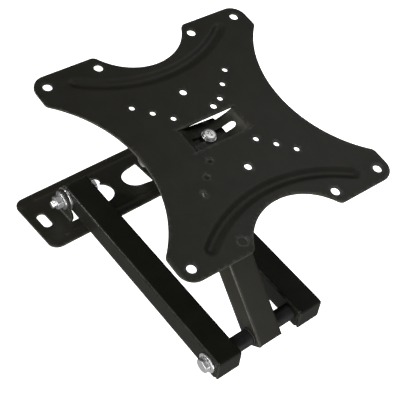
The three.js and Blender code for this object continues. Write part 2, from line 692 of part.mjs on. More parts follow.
// The strip: an arc of sheet joined to the plate at both ends, with the tilt slot through it.
function archedStrip() {
  const centreY = STRIP_DEPTH - STRIP_RADIUS;
  const inner = STRIP_RADIUS - STRIP_SHEET / 2;
  const outer = STRIP_RADIUS + STRIP_SHEET / 2;
  const tube = rod('x', centreY, 0, outer, -STRIP_HALF_WIDTH, STRIP_HALF_WIDTH, 120)
    .subtract(rod('x', centreY, 0, inner, -40, 40, 120));
  const reach = STRIP_HALF_LENGTH + 0.6;
  const arc = tube.intersect(block(-40, 40, 0, 30, -reach, reach));
  const slot = slotShape(0, 0, TILT_SLOT_HALF_LENGTH, TILT_SLOT_HALF_WIDTH, true);
  return arc.subtract(plateCut(slot, -5, 30, 10));
}

function vesaPlate() {
  const depth = VESA_SHEET;
  const outline = vesaOutline();
  const geometry = new THREE.ExtrudeGeometry(outline, { depth, bevelEnabled: false, curveSegments: 18 });
  geometry.rotateX(Math.PI / 2);
  geometry.translate(0, VESA_SHEET, 0);
  let body = solid(geometry);
  for (const side of [-1, 1]) {
    const bead = vesaBead(side);
    body = body.add(bead.ridge).subtract(bead.groove);
  }
  const window = block(-STRIP_HALF_WIDTH - CLEARANCE, STRIP_HALF_WIDTH + CLEARANCE,
    -5, VESA_SHEET + 1, -STRIP_HALF_LENGTH, STRIP_HALF_LENGTH);
  body = cut(body, window, ...vesaHoles());
  return body.add(archedStrip());
}

// ---------------------------------------------------------------- assembly

const mount = new THREE.Group();

mount.add(piece('wall_plate', wallPlate(), 'paint'));
mount.add(...wallPivotStack(1, 'upper'));
mount.add(...wallPivotStack(-1, 'lower'));

const firstStage = new THREE.Group();
firstStage.position.set(PIVOT_X, PIVOT_Y, 0);
firstStage.rotation.z = degrees(FIRST_ARM_ANGLE);
firstStage.add(piece('upper_arm', firstArm(1), 'paint'));
firstStage.add(piece('lower_arm', firstArm(-1), 'paint'));
firstStage.add(...elbowParts());
mount.add(firstStage);

const secondStage = new THREE.Group();
secondStage.position.set(FIRST_ARM_LENGTH, 0, 0);
secondStage.rotation.z = degrees(SECOND_ARM_ANGLE - FIRST_ARM_ANGLE);
secondStage.add(piece('middle_arm', secondArm(), 'paint'));
secondStage.add(armSleeve('elbow_inner_sleeve', 0));
secondStage.add(armSleeve('head_inner_sleeve', SECOND_ARM_LENGTH));
firstStage.add(secondStage);

const head = new THREE.Group();
head.position.set(SECOND_ARM_LENGTH, 0, 0);
head.rotation.z = degrees(HEAD_ANGLE - SECOND_ARM_ANGLE);
head.add(piece('head_bracket', headBracket(), 'paint'));
head.add(...headPinParts());
head.add(...tiltParts());
secondStage.add(head);

const screenPlate = new THREE.Group();
screenPlate.position.set(0, TILT_CENTRE_Y, TILT_CENTRE_Z);
screenPlate.rotation.x = degrees(TILT_ANGLE);
const plate = piece('vesa_plate', vesaPlate(), 'paint');
plate.position.y = STRIP_RADIUS - STRIP_DEPTH;
screenPlate.add(plate);
head.add(screenPlate);

export default mount;
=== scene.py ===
import json
import math

import bpy
import numpy as np
from mathutils import Matrix, Vector
from mathutils.geometry import delaunay_2d_cdt


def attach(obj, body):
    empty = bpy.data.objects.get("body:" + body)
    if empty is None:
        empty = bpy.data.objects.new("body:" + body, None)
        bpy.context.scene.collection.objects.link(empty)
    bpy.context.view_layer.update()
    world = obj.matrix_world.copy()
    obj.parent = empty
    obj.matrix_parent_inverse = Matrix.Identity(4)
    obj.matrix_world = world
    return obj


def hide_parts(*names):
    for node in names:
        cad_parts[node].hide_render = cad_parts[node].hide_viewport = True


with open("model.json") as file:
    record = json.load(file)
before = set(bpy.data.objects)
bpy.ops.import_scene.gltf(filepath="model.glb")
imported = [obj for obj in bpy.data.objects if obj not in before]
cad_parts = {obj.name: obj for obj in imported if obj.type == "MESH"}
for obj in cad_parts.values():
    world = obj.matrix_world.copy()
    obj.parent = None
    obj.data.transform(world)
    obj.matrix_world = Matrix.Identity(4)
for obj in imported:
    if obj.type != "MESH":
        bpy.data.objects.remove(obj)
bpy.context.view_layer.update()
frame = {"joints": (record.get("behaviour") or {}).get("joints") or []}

# ---------------------------------------------------------------- places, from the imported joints

JOINTS = {joint["name"]: joint for joint in frame["joints"]}
WALL_PIVOT = Vector(JOINTS["wall_pivot"]["pos_m"])
ELBOW = Vector(JOINTS["elbow"]["pos_m"])
HEAD = Vector(JOINTS["head_swivel"]["pos_m"])
TILT = Vector(JOINTS["tilt"]["pos_m"])
TILT_AXIS = Vector(JOINTS["tilt"]["axis"])
TILT_DEGREES = 3.36


def hinge_frame(origin, direction):
    """A frame at a vertical hinge, its X along a direction."""
    return Matrix.Translation(origin) @ Matrix.Rotation(math.atan2(direction.y, direction.x), 4, "Z")


FIRST = hinge_frame(WALL_PIVOT, ELBOW - WALL_PIVOT)
SECOND = hinge_frame(ELBOW, HEAD - ELBOW)
HEAD_FRAME = hinge_frame(HEAD, TILT_AXIS)
TILT_FRAME = hinge_frame(TILT, TILT_AXIS) @ Matrix.Rotation(math.radians(TILT_DEGREES), 4, "X")
WORLD_FRAME = Matrix.Identity(4)
FIRST_LENGTH = (ELBOW - WALL_PIVOT).length * 1000
SECOND_LENGTH = (HEAD - ELBOW).length * 1000
PIVOT_X = WALL_PIVOT.x * 1000
PIVOT_Y = WALL_PIVOT.y * 1000

# ---------------------------------------------------------------- shapes in a plane, in millimetres

SAME_POINT = 1e-3
LONGEST_SHARE = 0.499


def arc(cx, cy, radius, start, end, steps):
    """Points of an arc, angles in degrees."""
    angles = np.radians(np.linspace(start, end, steps + 1))
    return [(cx + radius * math.cos(a), cy + radius * math.sin(a)) for a in angles]


def circle(cx, cy, radius, steps=32):
    return arc(cx, cy, radius, 0, 360, steps)[:-1]


def corner_arc(previous, point, following, radius, steps):
    """The arc that rounds a corner, made smaller where a side is too short for it."""
    corner = Vector(point)
    before = Vector(previous) - corner
    after = Vector(following) - corner
    half = before.angle(after) / 2
    back = min(radius / math.tan(half), before.length * LONGEST_SHARE, after.length * LONGEST_SHARE)
    radius = back * math.tan(half)
    centre = corner + (before.normalized() + after.normalized()).normalized() * (radius / math.sin(half))
    first = corner + before.normalized() * back - centre
    last = corner + after.normalized() * back - centre
    start = math.atan2(first.y, first.x)
    turn = (math.atan2(last.y, last.x) - start + math.pi) % (2 * math.pi) - math.pi
    angles = [start + turn * k / steps for k in range(steps + 1)]
    return [(centre.x + radius * math.cos(a), centre.y + radius * math.sin(a)) for a in angles]


def rounded(points, steps=8):
    """A polygon with round corners: each point is x, y and the corner's radius."""
    out = []
    for i, (x, y, radius) in enumerate(points):
        if radius > 0:
            out += corner_arc(points[i - 1][:2], (x, y), points[(i + 1) % len(points)][:2], radius, steps)
        else:
            out.append((x, y))
    return out


def oblong(cx, cy, half_length, half_width, steps=12):
    reach = half_length - half_width
    right = arc(cx + reach, cy, half_width, -90, 90, steps)
    left = arc(cx - reach, cy, half_width, 90, 270, steps)
    return right + left


def upright_oblong(cx, cy, half_length, half_width, steps=12):
    return [(cx - (y - cy), cy + (x - cx)) for x, y in oblong(cx, cy, half_length, half_width, steps)]


def dense(loop, spacing):
    """The same loop with no side longer than a spacing."""
    out = []
    for i, a in enumerate(loop):
        b = loop[(i + 1) % len(loop)]
        pieces = max(1, int(math.ceil(math.dist(a, b) / spacing)))
        for k in range(pieces):
            t = k / pieces
            out.append((a[0] + (b[0] - a[0]) * t, a[1] + (b[1] - a[1]) * t))
    clean = []
    for p in out:
        if not clean or math.dist(p, clean[-1]) > SAME_POINT:
            clean.append(p)
    if math.dist(clean[0], clean[-1]) < SAME_POINT:
        clean.pop()
    return clean


def inside(points, loop):
    """Which points lie inside a loop."""
    x, y = points[:, 0], points[:, 1]
    result = np.zeros(len(points), bool)
    for i, (x0, y0) in enumerate(loop):
        x1, y1 = loop[(i + 1) % len(loop)]
        if y0 == y1:
            continue
        crosses = ((y0 > y) != (y1 > y)) & (x < (x1 - x0) * (y - y0) / (y1 - y0) + x0)
        result ^= crosses
    return result


def away_from(points, loop, distance):
    """Which points are at least a distance from a loop's sides."""
    result = np.ones(len(points), bool)
    for i, a in enumerate(loop):
        a = np.array(a)
        side = np.array(loop[(i + 1) % len(loop)]) - a
        t = np.clip((points - a) @ side / max(side @ side, 1e-12), 0, 1)
        result &= np.linalg.norm(points - a - t[:, None] * side, axis=1) > distance
    return result


def grid(x0, x1, y0, y1, spacing):
    """Points in staggered rows."""
    points = []
    for row, y in enumerate(np.arange(y0, y1, spacing * 0.87)):
        for x in np.arange(x0 + (row % 2) * spacing / 2, x1, spacing):
            points.append((x, y))
    return np.array(points)


def mesh_grid(xs, ys):
    return np.array([(x, y) for x in xs for y in ys])


# ---------------------------------------------------------------- sheet metal


EDGE_STEPS = 3


def flat_pattern(loops, seeds):
    """Triangles over a flat pattern: its outline, its holes and the points between them."""
    points, edges = [], []
    for loop in loops:
        start = len(points)
        points += loop
        edges += [(start + i, start + (i + 1) % len(loop)) for i in range(len(loop))]
    points += [tuple(p) for p in seeds]
    found = delaunay_2d_cdt([Vector(p) for p in points], edges, [], 0, 1e-5)
    flat = np.array([(v.x, v.y) for v in found[0]])
    triangles = np.array([face for face in found[2] if len(face) == 3])
    middles = flat[triangles].mean(axis=1)
    keep = inside(middles, loops[0])
    for loop in loops[1:]:
        keep &= ~inside(middles, loop)
    triangles = triangles[keep]
    used = np.unique(triangles)
    index = -np.ones(len(flat), int)
    index[used] = np.arange(len(used))
    flat = flat[used]
    triangles = index[triangles]
    a, b, c = flat[triangles[:, 0]], flat[triangles[:, 1]], flat[triangles[:, 2]]
    area = (b[:, 0] - a[:, 0]) * (c[:, 1] - a[:, 1]) - (b[:, 1] - a[:, 1]) * (c[:, 0] - a[:, 0])
    triangles[area < 0] = triangles[area < 0][:, ::-1]
    return flat, triangles


def cut_edges(flat, triangles):
    """The pattern's cut sides, their points, and the way out of the sheet at each point."""
    directed = {(int(t[i]), int(t[(i + 1) % 3])) for t in triangles for i in range(3)}
    border = [e for e in directed if (e[1], e[0]) not in directed]
    outward = np.zeros_like(flat)
    for i, j in border:
        side = flat[j] - flat[i]
        out = np.array((side[1], -side[0])) / max(np.linalg.norm(side), 1e-9)
        outward[i] += out
        outward[j] += out
    length = np.linalg.norm(outward, axis=1)
    rim = sorted({i for e in border for i in e})
    outward[rim] *= (2 / np.maximum(length[rim], 0.8) ** 2)[:, None]
    return border, rim, outward


def laid(surface, where, depth):
    """Pattern points on a surface, sunk behind it by a depth."""
    step = 0.02
    front = surface(where[:, 0], where[:, 1])
    du = surface(where[:, 0] + step, where[:, 1]) - surface(where[:, 0] - step, where[:, 1])
    dv = surface(where[:, 0], where[:, 1] + step) - surface(where[:, 0], where[:, 1] - step)
    normal = np.cross(du, dv)
    normal /= np.maximum(np.linalg.norm(normal, axis=1), 1e-12)[:, None]
    return front - normal * depth


def sheet(outer, holes, seeds, surface, thickness, keep_off, edge=0.35, spacing=3.0, gloss_and_painted_highlight=None):
    """Sheet metal with round edges: a flat pattern, laid on a surface, and given its thickness.

    The surface takes pattern coordinates and gives the front face's points; the thickness goes behind it.
    Seeds nearer than keep_off to a cut edge are dropped. Returns points, faces and a value for each point: 1
    on the cut edges, where the coat is worn, and on the front face the painted highlight that the pattern
    function gives.
    """
    loops = [dense(loop, spacing) for loop in [outer] + holes]
    seeds = seeds[inside(seeds, loops[0])]
    for loop in loops[1:]:
        seeds = seeds[~inside(seeds, loop)]
    for loop in loops:
        seeds = seeds[away_from(seeds, loop, keep_off)]
    flat, triangles = flat_pattern(loops, seeds)
    border, rim, outward = cut_edges(flat, triangles)
    count = len(flat)
    front = flat.copy()
    front[rim] -= outward[rim] * edge
    verts = [laid(surface, front, 0.0), laid(surface, front, thickness)]
    # Per point: 1 on the cut edges, for worn coat; on the front face, the painted highlight that the pattern
    # function gives; 0 elsewhere.
    painted_highlight = np.zeros(count) if gloss_and_painted_highlight is None else gloss_and_painted_highlight(flat[:, 0], flat[:, 1])
    wear_and_painted_highlight = [painted_highlight, np.zeros(count)]
    wear_and_painted_highlight[0][rim] = 1
    wear_and_painted_highlight[1][rim] = 1
    angles = np.radians(np.linspace(0, 90, EDGE_STEPS + 1))[1:]
    levels = [(edge * (1 - math.sin(a)), edge * (1 - math.cos(a))) for a in angles]
    levels += [(edge * (1 - math.sin(a)), thickness - edge * (1 - math.cos(a))) for a in angles[::-1]]
    for inset, depth in levels:
        verts.append(laid(surface, flat[rim] - outward[rim] * inset, depth))
        wear_and_painted_highlight.append(np.ones(len(rim)))
    faces = [tuple(int(i) for i in t) for t in triangles]
    faces += [tuple(int(i) + count for i in t[::-1]) for t in triangles]
    place = {v: 2 * count + k for k, v in enumerate(rim)}
    for i, j in border:
        chain_i = [i] + [place[i] + k * len(rim) for k in range(len(levels))] + [i + count]
        chain_j = [j] + [place[j] + k * len(rim) for k in range(len(levels))] + [j + count]
        for k in range(len(chain_i) - 1):
            faces.append((chain_j[k], chain_i[k], chain_i[k + 1], chain_j[k + 1]))
    return np.vstack(verts), faces, np.concatenate(wear_and_painted_highlight)


class Fold:
    """A bent line of sheet in a plane, measured along its outer face."""

    def __init__(self, corners, radius):
        steps = 8
        points = [corners[0]]
        middles = []
        for i in range(1, len(corners) - 1):
            middles.append(len(points) + steps // 2)
            points += corner_arc(corners[i - 1], corners[i], corners[i + 1], radius, steps)
        points.append(corners[-1])
        self.points = np.array(points)
        lengths = np.linalg.norm(np.diff(self.points, axis=0), axis=1)
        self.marks = np.concatenate([[0], np.cumsum(lengths)])
        self.ridges = [self.marks[i] for i in middles]
        self.length = self.marks[-1]

    def at(self, s):
        """The two coordinates at a length along the line, carried straight on past its ends."""
        out = []
        for axis in range(2):
            values = np.interp(s, self.marks, self.points[:, axis])
            first = (self.points[1, axis] - self.points[0, axis]) / (self.marks[1] - self.marks[0])
            last = (self.points[-1, axis] - self.points[-2, axis]) / (self.marks[-1] - self.marks[-2])
            values = np.where(s < 0, self.points[0, axis] + first * s, values)
            values = np.where(s > self.length, self.points[-1, axis] + last * (s - self.length), values)
            out.append(values)
        return out

    def gloss_and_painted_highlight(self, s, _):
        """A painted highlight, with a glossier coat: most at the middle of each bend."""
        width = 1.1
        return np.max([np.exp(-((s - at) / width) ** 2) for at in self.ridges], axis=0)

    def seeds(self, spacing):
        """Lengths at which the pattern needs rows of points."""
        out = list(self.marks)
        for a, b in zip(self.marks[:-1], self.marks[1:]):
            pieces = int(math.ceil((b - a) / spacing))
            out += [a + (b - a) * k / pieces for k in range(1, pieces)]
        return sorted(out)


# ---------------------------------------------------------------- turned and hexagonal parts


def joined(low, high):
    """Quads between two rings of the same number of points."""
    count = len(low)
    return [(low[k], low[(k + 1) % count], high[(k + 1) % count], high[k]) for k in range(count)]


def fan(around, centre, flip):
    """Triangles between a ring and the point at its middle."""
    count = len(around)
    triangles = [(around[k], around[(k + 1) % count], centre) for k in range(count)]
    return [t[::-1] for t in triangles] if flip else triangles


def turned(profile, segments=48):
    """A solid of revolution about Z from a profile of radius and height, closed on itself."""
    verts, rings = [], []
    for radius, height in profile:
        rings.append(list(range(len(verts), len(verts) + segments)))
        for k in range(segments):
            a = 2 * math.pi * k / segments
            verts.append((radius * math.cos(a), radius * math.sin(a), height))
    faces = []
    for low, high in zip(rings, rings[1:] + rings[:1]):
        faces += joined(low, high)
    return np.array(verts, float), faces, np.zeros(len(verts))


def stacked(rings, through):
    """A solid from rings of points, joined round a bore when it goes through, or closed at both ends."""
    count = len(rings[0])
    verts = [point for points in rings for point in points]
    places = [list(range(i * count, (i + 1) * count)) for i in range(len(rings))]
    faces = []
    for low, high in zip(places[:-1], places[1:]):
        faces += joined(low, high)
    if through:
        faces += joined(places[-1], places[0])
    else:
        for place, flip in ((places[0], True), (places[-1], False)):
            verts.append((0, 0, verts[place[0]][2]))
            faces += fan(place, len(verts) - 1, flip)
    return np.array(verts, float), faces, np.zeros(len(verts))


def softened(profile, size):
    """A closed profile with a small round in place of each corner."""
    steps = 3
    out = []
    for i, point in enumerate(profile):
        corner = Vector(point)
        before = (Vector(profile[i - 1]) - corner).normalized()
        after = (Vector(profile[(i + 1) % len(profile)]) - corner).normalized()
        for k in range(steps + 1):
            t = k / steps
            start = (corner + before * size) * (1 - t) ** 2
            p = start + corner * 2 * t * (1 - t) + (corner + after * size) * t ** 2
            out.append((p.x, p.y))
    return out


def disc(outer, inner, low, high, edge):
    """The profile of a flat ring with rounded corners."""
    return softened([(inner, low), (outer, low), (outer, high), (inner, high)], edge)


def ring(outer, inner, low, high, edge=0.25):
    return turned(disc(outer, inner, low, high, edge), segments=56)


def hexagon(flats, low, high, bore=0.0, chamfer_high=True):
    """A hexagonal nut or head about Z, its corners turned off at 30 degrees."""
    segments = 72
    lead = 0.5
    face = flats / 2 * 0.95
    widest = flats / 2 / math.cos(math.pi / 6) - 0.25
    slope = math.tan(math.radians(30))
    angles = [2 * math.pi * k / segments for k in range(segments)]
    reach = []
    for a in angles:
        off = (a + math.pi / 6) % (math.pi / 3) - math.pi / 6
        reach.append(min(flats / 2 / math.cos(off), widest))
    cuts = [(r - face) * slope for r in reach]

    def level(radii, heights):
        return [(r * math.cos(a), r * math.sin(a), z) for r, z, a in zip(radii, heights, angles)]

    def even(radius, height):
        return level([radius] * segments, [height] * segments)

    rings = [
        even(face, low),
        level(reach, [low + cut for cut in cuts]),
        level(reach, [high - cut for cut in cuts] if chamfer_high else [high] * segments),
        even(face, high),
    ]
    if bore > 0:
        rings = [even(bore, low + lead), even(bore + lead, low)] + rings
        rings += [even(bore + lead, high), even(bore, high - lead)]
    return stacked(rings, bore > 0)


def threaded(radius, low, high, pitch, depth, thread_from):
    """A rod about Z with a helical thread over its upper part and a bevelled tip."""
    segments = 40
    bevel = 0.9
    rows = [low]
    z = thread_from
    while z < high:
        rows.append(z)
        z += pitch / 8
    rows.append(high)
    rings = []
    for z in rows:
        points = []
        for k in range(segments):
            turn = k / segments
            wave = abs(((z / pitch - turn) % 1.0) * 2 - 1)
            cut = depth * min(1.0, max(0.0, wave * 1.5 - 0.25)) if z >= thread_from else 0.0
            cut *= min(1.0, max(0.0, (z - thread_from) / pitch))
            tip = max(0.0, 1.0 - (high - z))
            r = min(radius - cut, radius - bevel * tip)
            a = 2 * math.pi * turn
            points.append((r * math.cos(a), r * math.sin(a), z))
        rings.append(points)
    return stacked(rings, False)


def placed(parts, x, y, flip):
    """Parts shifted in millimetres, turned upside down first when flip is set."""
    out = []
    for verts, faces, wear_and_painted_highlight in parts:
        turned_over = verts * (1, -1, -1) if flip else verts
        out.append((turned_over + np.array((x, y, 0.0)), faces, wear_and_painted_highlight))
    return out


# ---------------------------------------------------------------- materials


def new_material(name):
    material = bpy.data.materials.new(name)
    material.use_nodes = True
    tree = material.node_tree
    shader = tree.nodes["Principled BSDF"]
    coords = tree.nodes.new("ShaderNodeTexCoord")
    return material, tree, shader, coords.outputs["Object"]


def noise(tree, coords, scale, detail=3.0, rough=0.5, stretch=None):
    if stretch:
        mapping = tree.nodes.new("ShaderNodeMapping")
        mapping.inputs["Scale"].default_value = stretch
        tree.links.new(coords, mapping.inputs["Vector"])
        coords = mapping.outputs["Vector"]
    node = tree.nodes.new("ShaderNodeTexNoise")
    node.inputs["Scale"].default_value = scale
    node.inputs["Detail"].default_value = detail
    node.inputs["Roughness"].default_value = rough
    tree.links.new(coords, node.inputs["Vector"])
    return node.outputs["Fac"]


def ramp(tree, value, low, high, from_low=0.3, from_high=0.7):
    node = tree.nodes.new("ShaderNodeMapRange")
    node.inputs["From Min"].default_value = from_low
    node.inputs["From Max"].default_value = from_high
    node.inputs["To Min"].default_value = low
    node.inputs["To Max"].default_value = high
    tree.links.new(value, node.inputs["Value"])
    return node.outputs["Result"]


def mixed(tree, factor, a, b):
    node = tree.nodes.new("ShaderNodeMix")
    node.data_type = "RGBA"
    for socket, value in (("A", a), ("B", b)):
        target = [s for s in node.inputs if s.name == socket and s.type == "RGBA"][0]
        if isinstance(value, tuple):
            target.default_value = (*value, 1.0)
        else:
            tree.links.new(value, target)
    tree.links.new(factor, [s for s in node.inputs if s.name == "Factor" and s.type == "VALUE"][0])
    return [s for s in node.outputs if s.type == "RGBA"][0]


def bumped(tree, shader, heights):
    """Adds bumps in turn: each is a height, its strength and its depth in metres."""
    normal = None
    for height, strength, distance in heights:
        node = tree.nodes.new("ShaderNodeBump")
        node.inputs["Strength"].default_value = strength
        node.inputs["Distance"].default_value = distance
        tree.links.new(height, node.inputs["Height"])
        if normal is not None:
            tree.links.new(normal, node.inputs["Normal"])
        normal = node.outputs["Normal"]
    tree.links.new(normal, shader.inputs["Normal"])


def times(tree, a, b):
    node = tree.nodes.new("ShaderNodeMath")
    node.operation = "MULTIPLY"
    tree.links.new(a, node.inputs[0])
    if isinstance(b, float):
        node.inputs[1].default_value = b
    else:
        tree.links.new(b, node.inputs[1])
    return node.outputs[0]


def powder_coat(name, colour, light, specular=0.25):
    """Satin black powder coat: orange peel, a fine grain, and a lighter, glossier coat where the rim
    attribute is set: worn coat on cut edges, painted highlight along bends and the tilt strip's ends.
    """
    material, tree, shader, coords = new_material(name)
    shader.inputs["Specular IOR Level"].default_value = specular
    cloud = noise(tree, coords, 45.0, 4.0, 0.6)
    peel = noise(tree, coords, 900.0, 2.0, 0.5)
    grain = noise(tree, coords, 3200.0, 2.0, 0.6)
    base = mixed(tree, ramp(tree, cloud, 0.0, 1.0), colour, light)
    rim = tree.nodes.new("ShaderNodeAttribute")
    rim.attribute_name = "rim"
    # Lighter colour where the rim attribute is set, broken up by noise: worn coat on the cut edges, and a
    # painted highlight along the bends and the tilt strip's ends.
    thin = times(tree, rim.outputs["Fac"], ramp(tree, noise(tree, coords, 140.0, 3.0), 0.0, 0.55))
    wear_and_painted_highlight = tuple(min(1.0, c * 3.5 + 0.010) for c in light)
    tree.links.new(mixed(tree, thin, base, wear_and_painted_highlight), shader.inputs["Base Color"])
    gloss_and_painted_highlight = tree.nodes.new("ShaderNodeMath")
    gloss_and_painted_highlight.operation = "MULTIPLY_ADD"
    tree.links.new(rim.outputs["Fac"], gloss_and_painted_highlight.inputs[0])
    gloss_and_painted_highlight.inputs[1].default_value = -0.17
    tree.links.new(ramp(tree, peel, 0.40, 0.50), gloss_and_painted_highlight.inputs[2])
    tree.links.new(gloss_and_painted_highlight.outputs[0], shader.inputs["Roughness"])
    bumped(tree, shader, [(peel, 0.22, 0.00008), (grain, 0.12, 0.00003)])
    return material


def zinc(name):
    """Bright zinc plating: mottled, with fine turning marks."""
    bright = (0.80, 0.80, 0.80)
    dark = tuple(c * 0.72 for c in bright)
    warm = (bright[0] * 0.95, bright[1] * 0.93, bright[2] * 0.86)
    material, tree, shader, coords = new_material(name)
    shader.inputs["Metallic"].default_value = 1.0
    mottle = noise(tree, coords, 260.0, 4.0, 0.6)
    fine = noise(tree, coords, 2600.0, 2.0, 0.5)
    stain = noise(tree, coords, 90.0, 3.0, 0.5)
    base = mixed(tree, ramp(tree, mottle, 0.0, 0.6), bright, dark)
    stained = mixed(tree, ramp(tree, stain, 0.0, 0.35, 0.45, 0.75), base, warm)
    tree.links.new(stained, shader.inputs["Base Color"])
    tree.links.new(ramp(tree, mottle, 0.28, 0.42), shader.inputs["Roughness"])
    bumped(tree, shader, [(fine, 0.08, 0.00003), (mottle, 0.05, 0.00006)])
    return material


def satin_tube(name):
    """Black oxide tube: smooth, with faint drawing lines along it."""
    material, tree, shader, coords = new_material(name)
    shader.inputs["Specular IOR Level"].default_value = 0.18
    lines = noise(tree, coords, 900.0, 2.0, 0.5, (1.0, 1.0, 0.03))
    cloud = noise(tree, coords, 120.0, 3.0)
    tree.links.new(mixed(tree, ramp(tree, cloud, 0.0, 1.0), (0.008, 0.008, 0.008), (0.014, 0.014, 0.014)),
                   shader.inputs["Base Color"])
    tree.links.new(ramp(tree, lines, 0.38, 0.5), shader.inputs["Roughness"])
    bumped(tree, shader, [(lines, 0.15, 0.00003)])
    return material


def moulded_nylon(name):
    """Moulded nylon: matt, with a soft moulded grain."""
    material, tree, shader, coords = new_material(name)
    shader.inputs["Specular IOR Level"].default_value = 0.4
    grain = noise(tree, coords, 2400.0, 3.0, 0.6)
    cloud = noise(tree, coords, 180.0, 3.0)
    tree.links.new(mixed(tree, ramp(tree, cloud, 0.0, 1.0), (0.010, 0.010, 0.010), (0.020, 0.020, 0.021)),
                   shader.inputs["Base Color"])
    tree.links.new(ramp(tree, cloud, 0.5, 0.62), shader.inputs["Roughness"])
    bumped(tree, shader, [(grain, 0.2, 0.00004)])
    return material


PAINT = powder_coat("powder_coat", (0.0108, 0.0103, 0.0070), (0.0152, 0.0145, 0.0105))
# Painted shade: the same powder coat, darker and less glossy, for the two first-stage arms that sit in shade
# behind the screen plate.
SHADED_ARM_PAINT = powder_coat("powder_coat_arms_painted_shade", (0.0055, 0.0054, 0.0039), (0.0080, 0.0078, 0.0057), 0.11)
ZINC = zinc("zinc_plate")
TUBE = satin_tube("satin_black")
NYLON = moulded_nylon("nylon")

# ---------------------------------------------------------------- pieces


def piece(name, parts, place, body, nodes, material, sharp):
    """One object from its parts, in millimetres in a local frame, riding on a body.

    Edges that turn by more than the angle sharp, in degrees, are shaded as sharp.
    """
    verts, faces, wear_and_painted_highlight = [], [], []
    start = 0
    for part_verts, part_faces, part_wear_and_painted_highlight in parts:
        verts.append(part_verts)
        wear_and_painted_highlight.append(part_wear_and_painted_highlight)
        faces += [tuple(i + start for i in face) for face in part_faces]
        start += len(part_verts)
    m = np.array(place)
    points = np.vstack(verts) * 0.001
    points = points @ m[:3, :3].T + m[:3, 3]
    mesh = bpy.data.meshes.new(name)
    mesh.from_pydata(points.tolist(), [], faces)
    mesh.validate()
    # The rim attribute: 1 on the cut edges, for worn coat, and painted highlight values along the bends and
    # the tilt strip's ends.
    rim = mesh.attributes.new("rim", "FLOAT", "POINT")
    rim.data.foreach_set("value", np.concatenate(wear_and_painted_highlight).astype(np.float32))
    mesh.polygons.foreach_set("use_smooth", [True] * len(mesh.polygons))
    mesh.set_sharp_from_angle(angle=math.radians(sharp))
    mesh.update()
    obj = bpy.data.objects.new(name, mesh)
    bpy.context.scene.collection.objects.link(obj)
    obj.data.materials.append(material)
    weighted = obj.modifiers.new("normals", "WEIGHTED_NORMAL")
    weighted.keep_sharp = True
    weighted.weight = 60
    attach(obj, body)
    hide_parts(*nodes)


def bead_profile(distance, half_width, flat=0.25):
    """A pressed bead's height across its width, from 1 in the middle to 0 at its sides."""
    t = np.clip((np.abs(distance) / half_width - flat) / (1 - flat), 0, 1)
    return 0.5 + 0.5 * np.cos(np.pi * t)


# wall plate

HOLE = 4.3
SHEET_SHARP = 50
WALL_SHEET = 2.5
EAR_FACE = 66.95
EAR_BEND = 3.0
EAR_ROOT = EAR_FACE + EAR_BEND
EAR_HALF = 15.0
EAR_ARC = EAR_BEND * math.pi / 2
EAR_HOLE_FLAT = EAR_ROOT - EAR_ARC - (abs(PIVOT_Y) - WALL_SHEET - EAR_BEND)
EAR_TIP_RADIUS = 11.0
EAR_SHOULDER = EAR_HOLE_FLAT + 10.5
SLIT_GAP = 0.55
BEAD_X = 31.0
BEAD_END = 78.6
BEAD_RISE = 1.2
BEAD_HALF = 3.6
SLOT_LEVEL = 88.5


def on_tongue(u, height):
    """Which pattern points lie on an ear's tongue, taken a hair wider than it is."""
    off_axis = np.abs(u - PIVOT_X)
    tip = np.hypot(off_axis, height - EAR_HOLE_FLAT) < EAR_TIP_RADIUS + 0.2
    waist = off_axis < 10.4 + (height - EAR_HOLE_FLAT - 4.1) * 0.75
    full = height > EAR_SHOULDER - 0.2
    shoulder = (off_axis < EAR_HALF + 0.12) & (height > EAR_HOLE_FLAT + 4) & (waist | full)
    return (height < EAR_ROOT) & (tip | shoulder)


def wall_surface(u, v):
    """The plate with its two beads, and each tongue bent up at its root."""
    height = np.abs(v)
    off_bead = np.hypot(np.abs(u) - BEAD_X, np.clip(height - BEAD_END, 0, None))
    y = -WALL_SHEET - BEAD_RISE * bead_profile(off_bead, BEAD_HALF, 0.1)
    from_root = EAR_ROOT - height
    angle = np.clip(from_root / EAR_ARC, 0, 1) * math.pi / 2
    straight = np.clip(from_root - EAR_ARC, 0, None)
    ear_y = -WALL_SHEET - EAR_BEND + EAR_BEND * np.cos(angle) - straight
    ear_z = np.sign(v) * (EAR_ROOT - EAR_BEND * np.sin(angle))
    tongue = on_tongue(u, height)
    return np.stack([u, np.where(tongue, ear_y, y), np.where(tongue, ear_z, v)], axis=1)


def ear_slit(side):
    """The cut round a tongue: the opening's edge one way, then the tongue's edge back."""
    root = EAR_ROOT + 0.6
    corner = 3.0
    far = EAR_FACE - 28.0 + corner
    left = PIVOT_X - EAR_HALF - SLIT_GAP
    right = PIVOT_X + EAR_HALF + SLIT_GAP
    opening = [
        (left, root), (left, far),
        *arc(left + corner, far, corner, 180, 270, 5),
        *arc(right - corner, far, corner, 270, 360, 5),
        (right, root),
    ]
    tongue = [
        (PIVOT_X + EAR_HALF, root), (PIVOT_X + EAR_HALF, EAR_SHOULDER),
        *arc(PIVOT_X, EAR_HOLE_FLAT, EAR_TIP_RADIUS, 22, -202, 24),
        (PIVOT_X - EAR_HALF, EAR_SHOULDER), (PIVOT_X - EAR_HALF, root),
    ]
    return [(x, z * side) for x, z in opening + tongue]


def d_opening(side):
    """A D-shaped opening: round towards the plate's middle, straight on its far side."""
    middle, top = -1, 33.5
    loop = [
        *arc(middle, 22.6, 15, -166, -14, 26),
        (middle + 16.85, top - 0.9), (middle + 16.2, top), (middle - 16.2, top), (middle - 16.85, top - 0.9),
    ]
    return [(x, z * side) for x, z in loop]


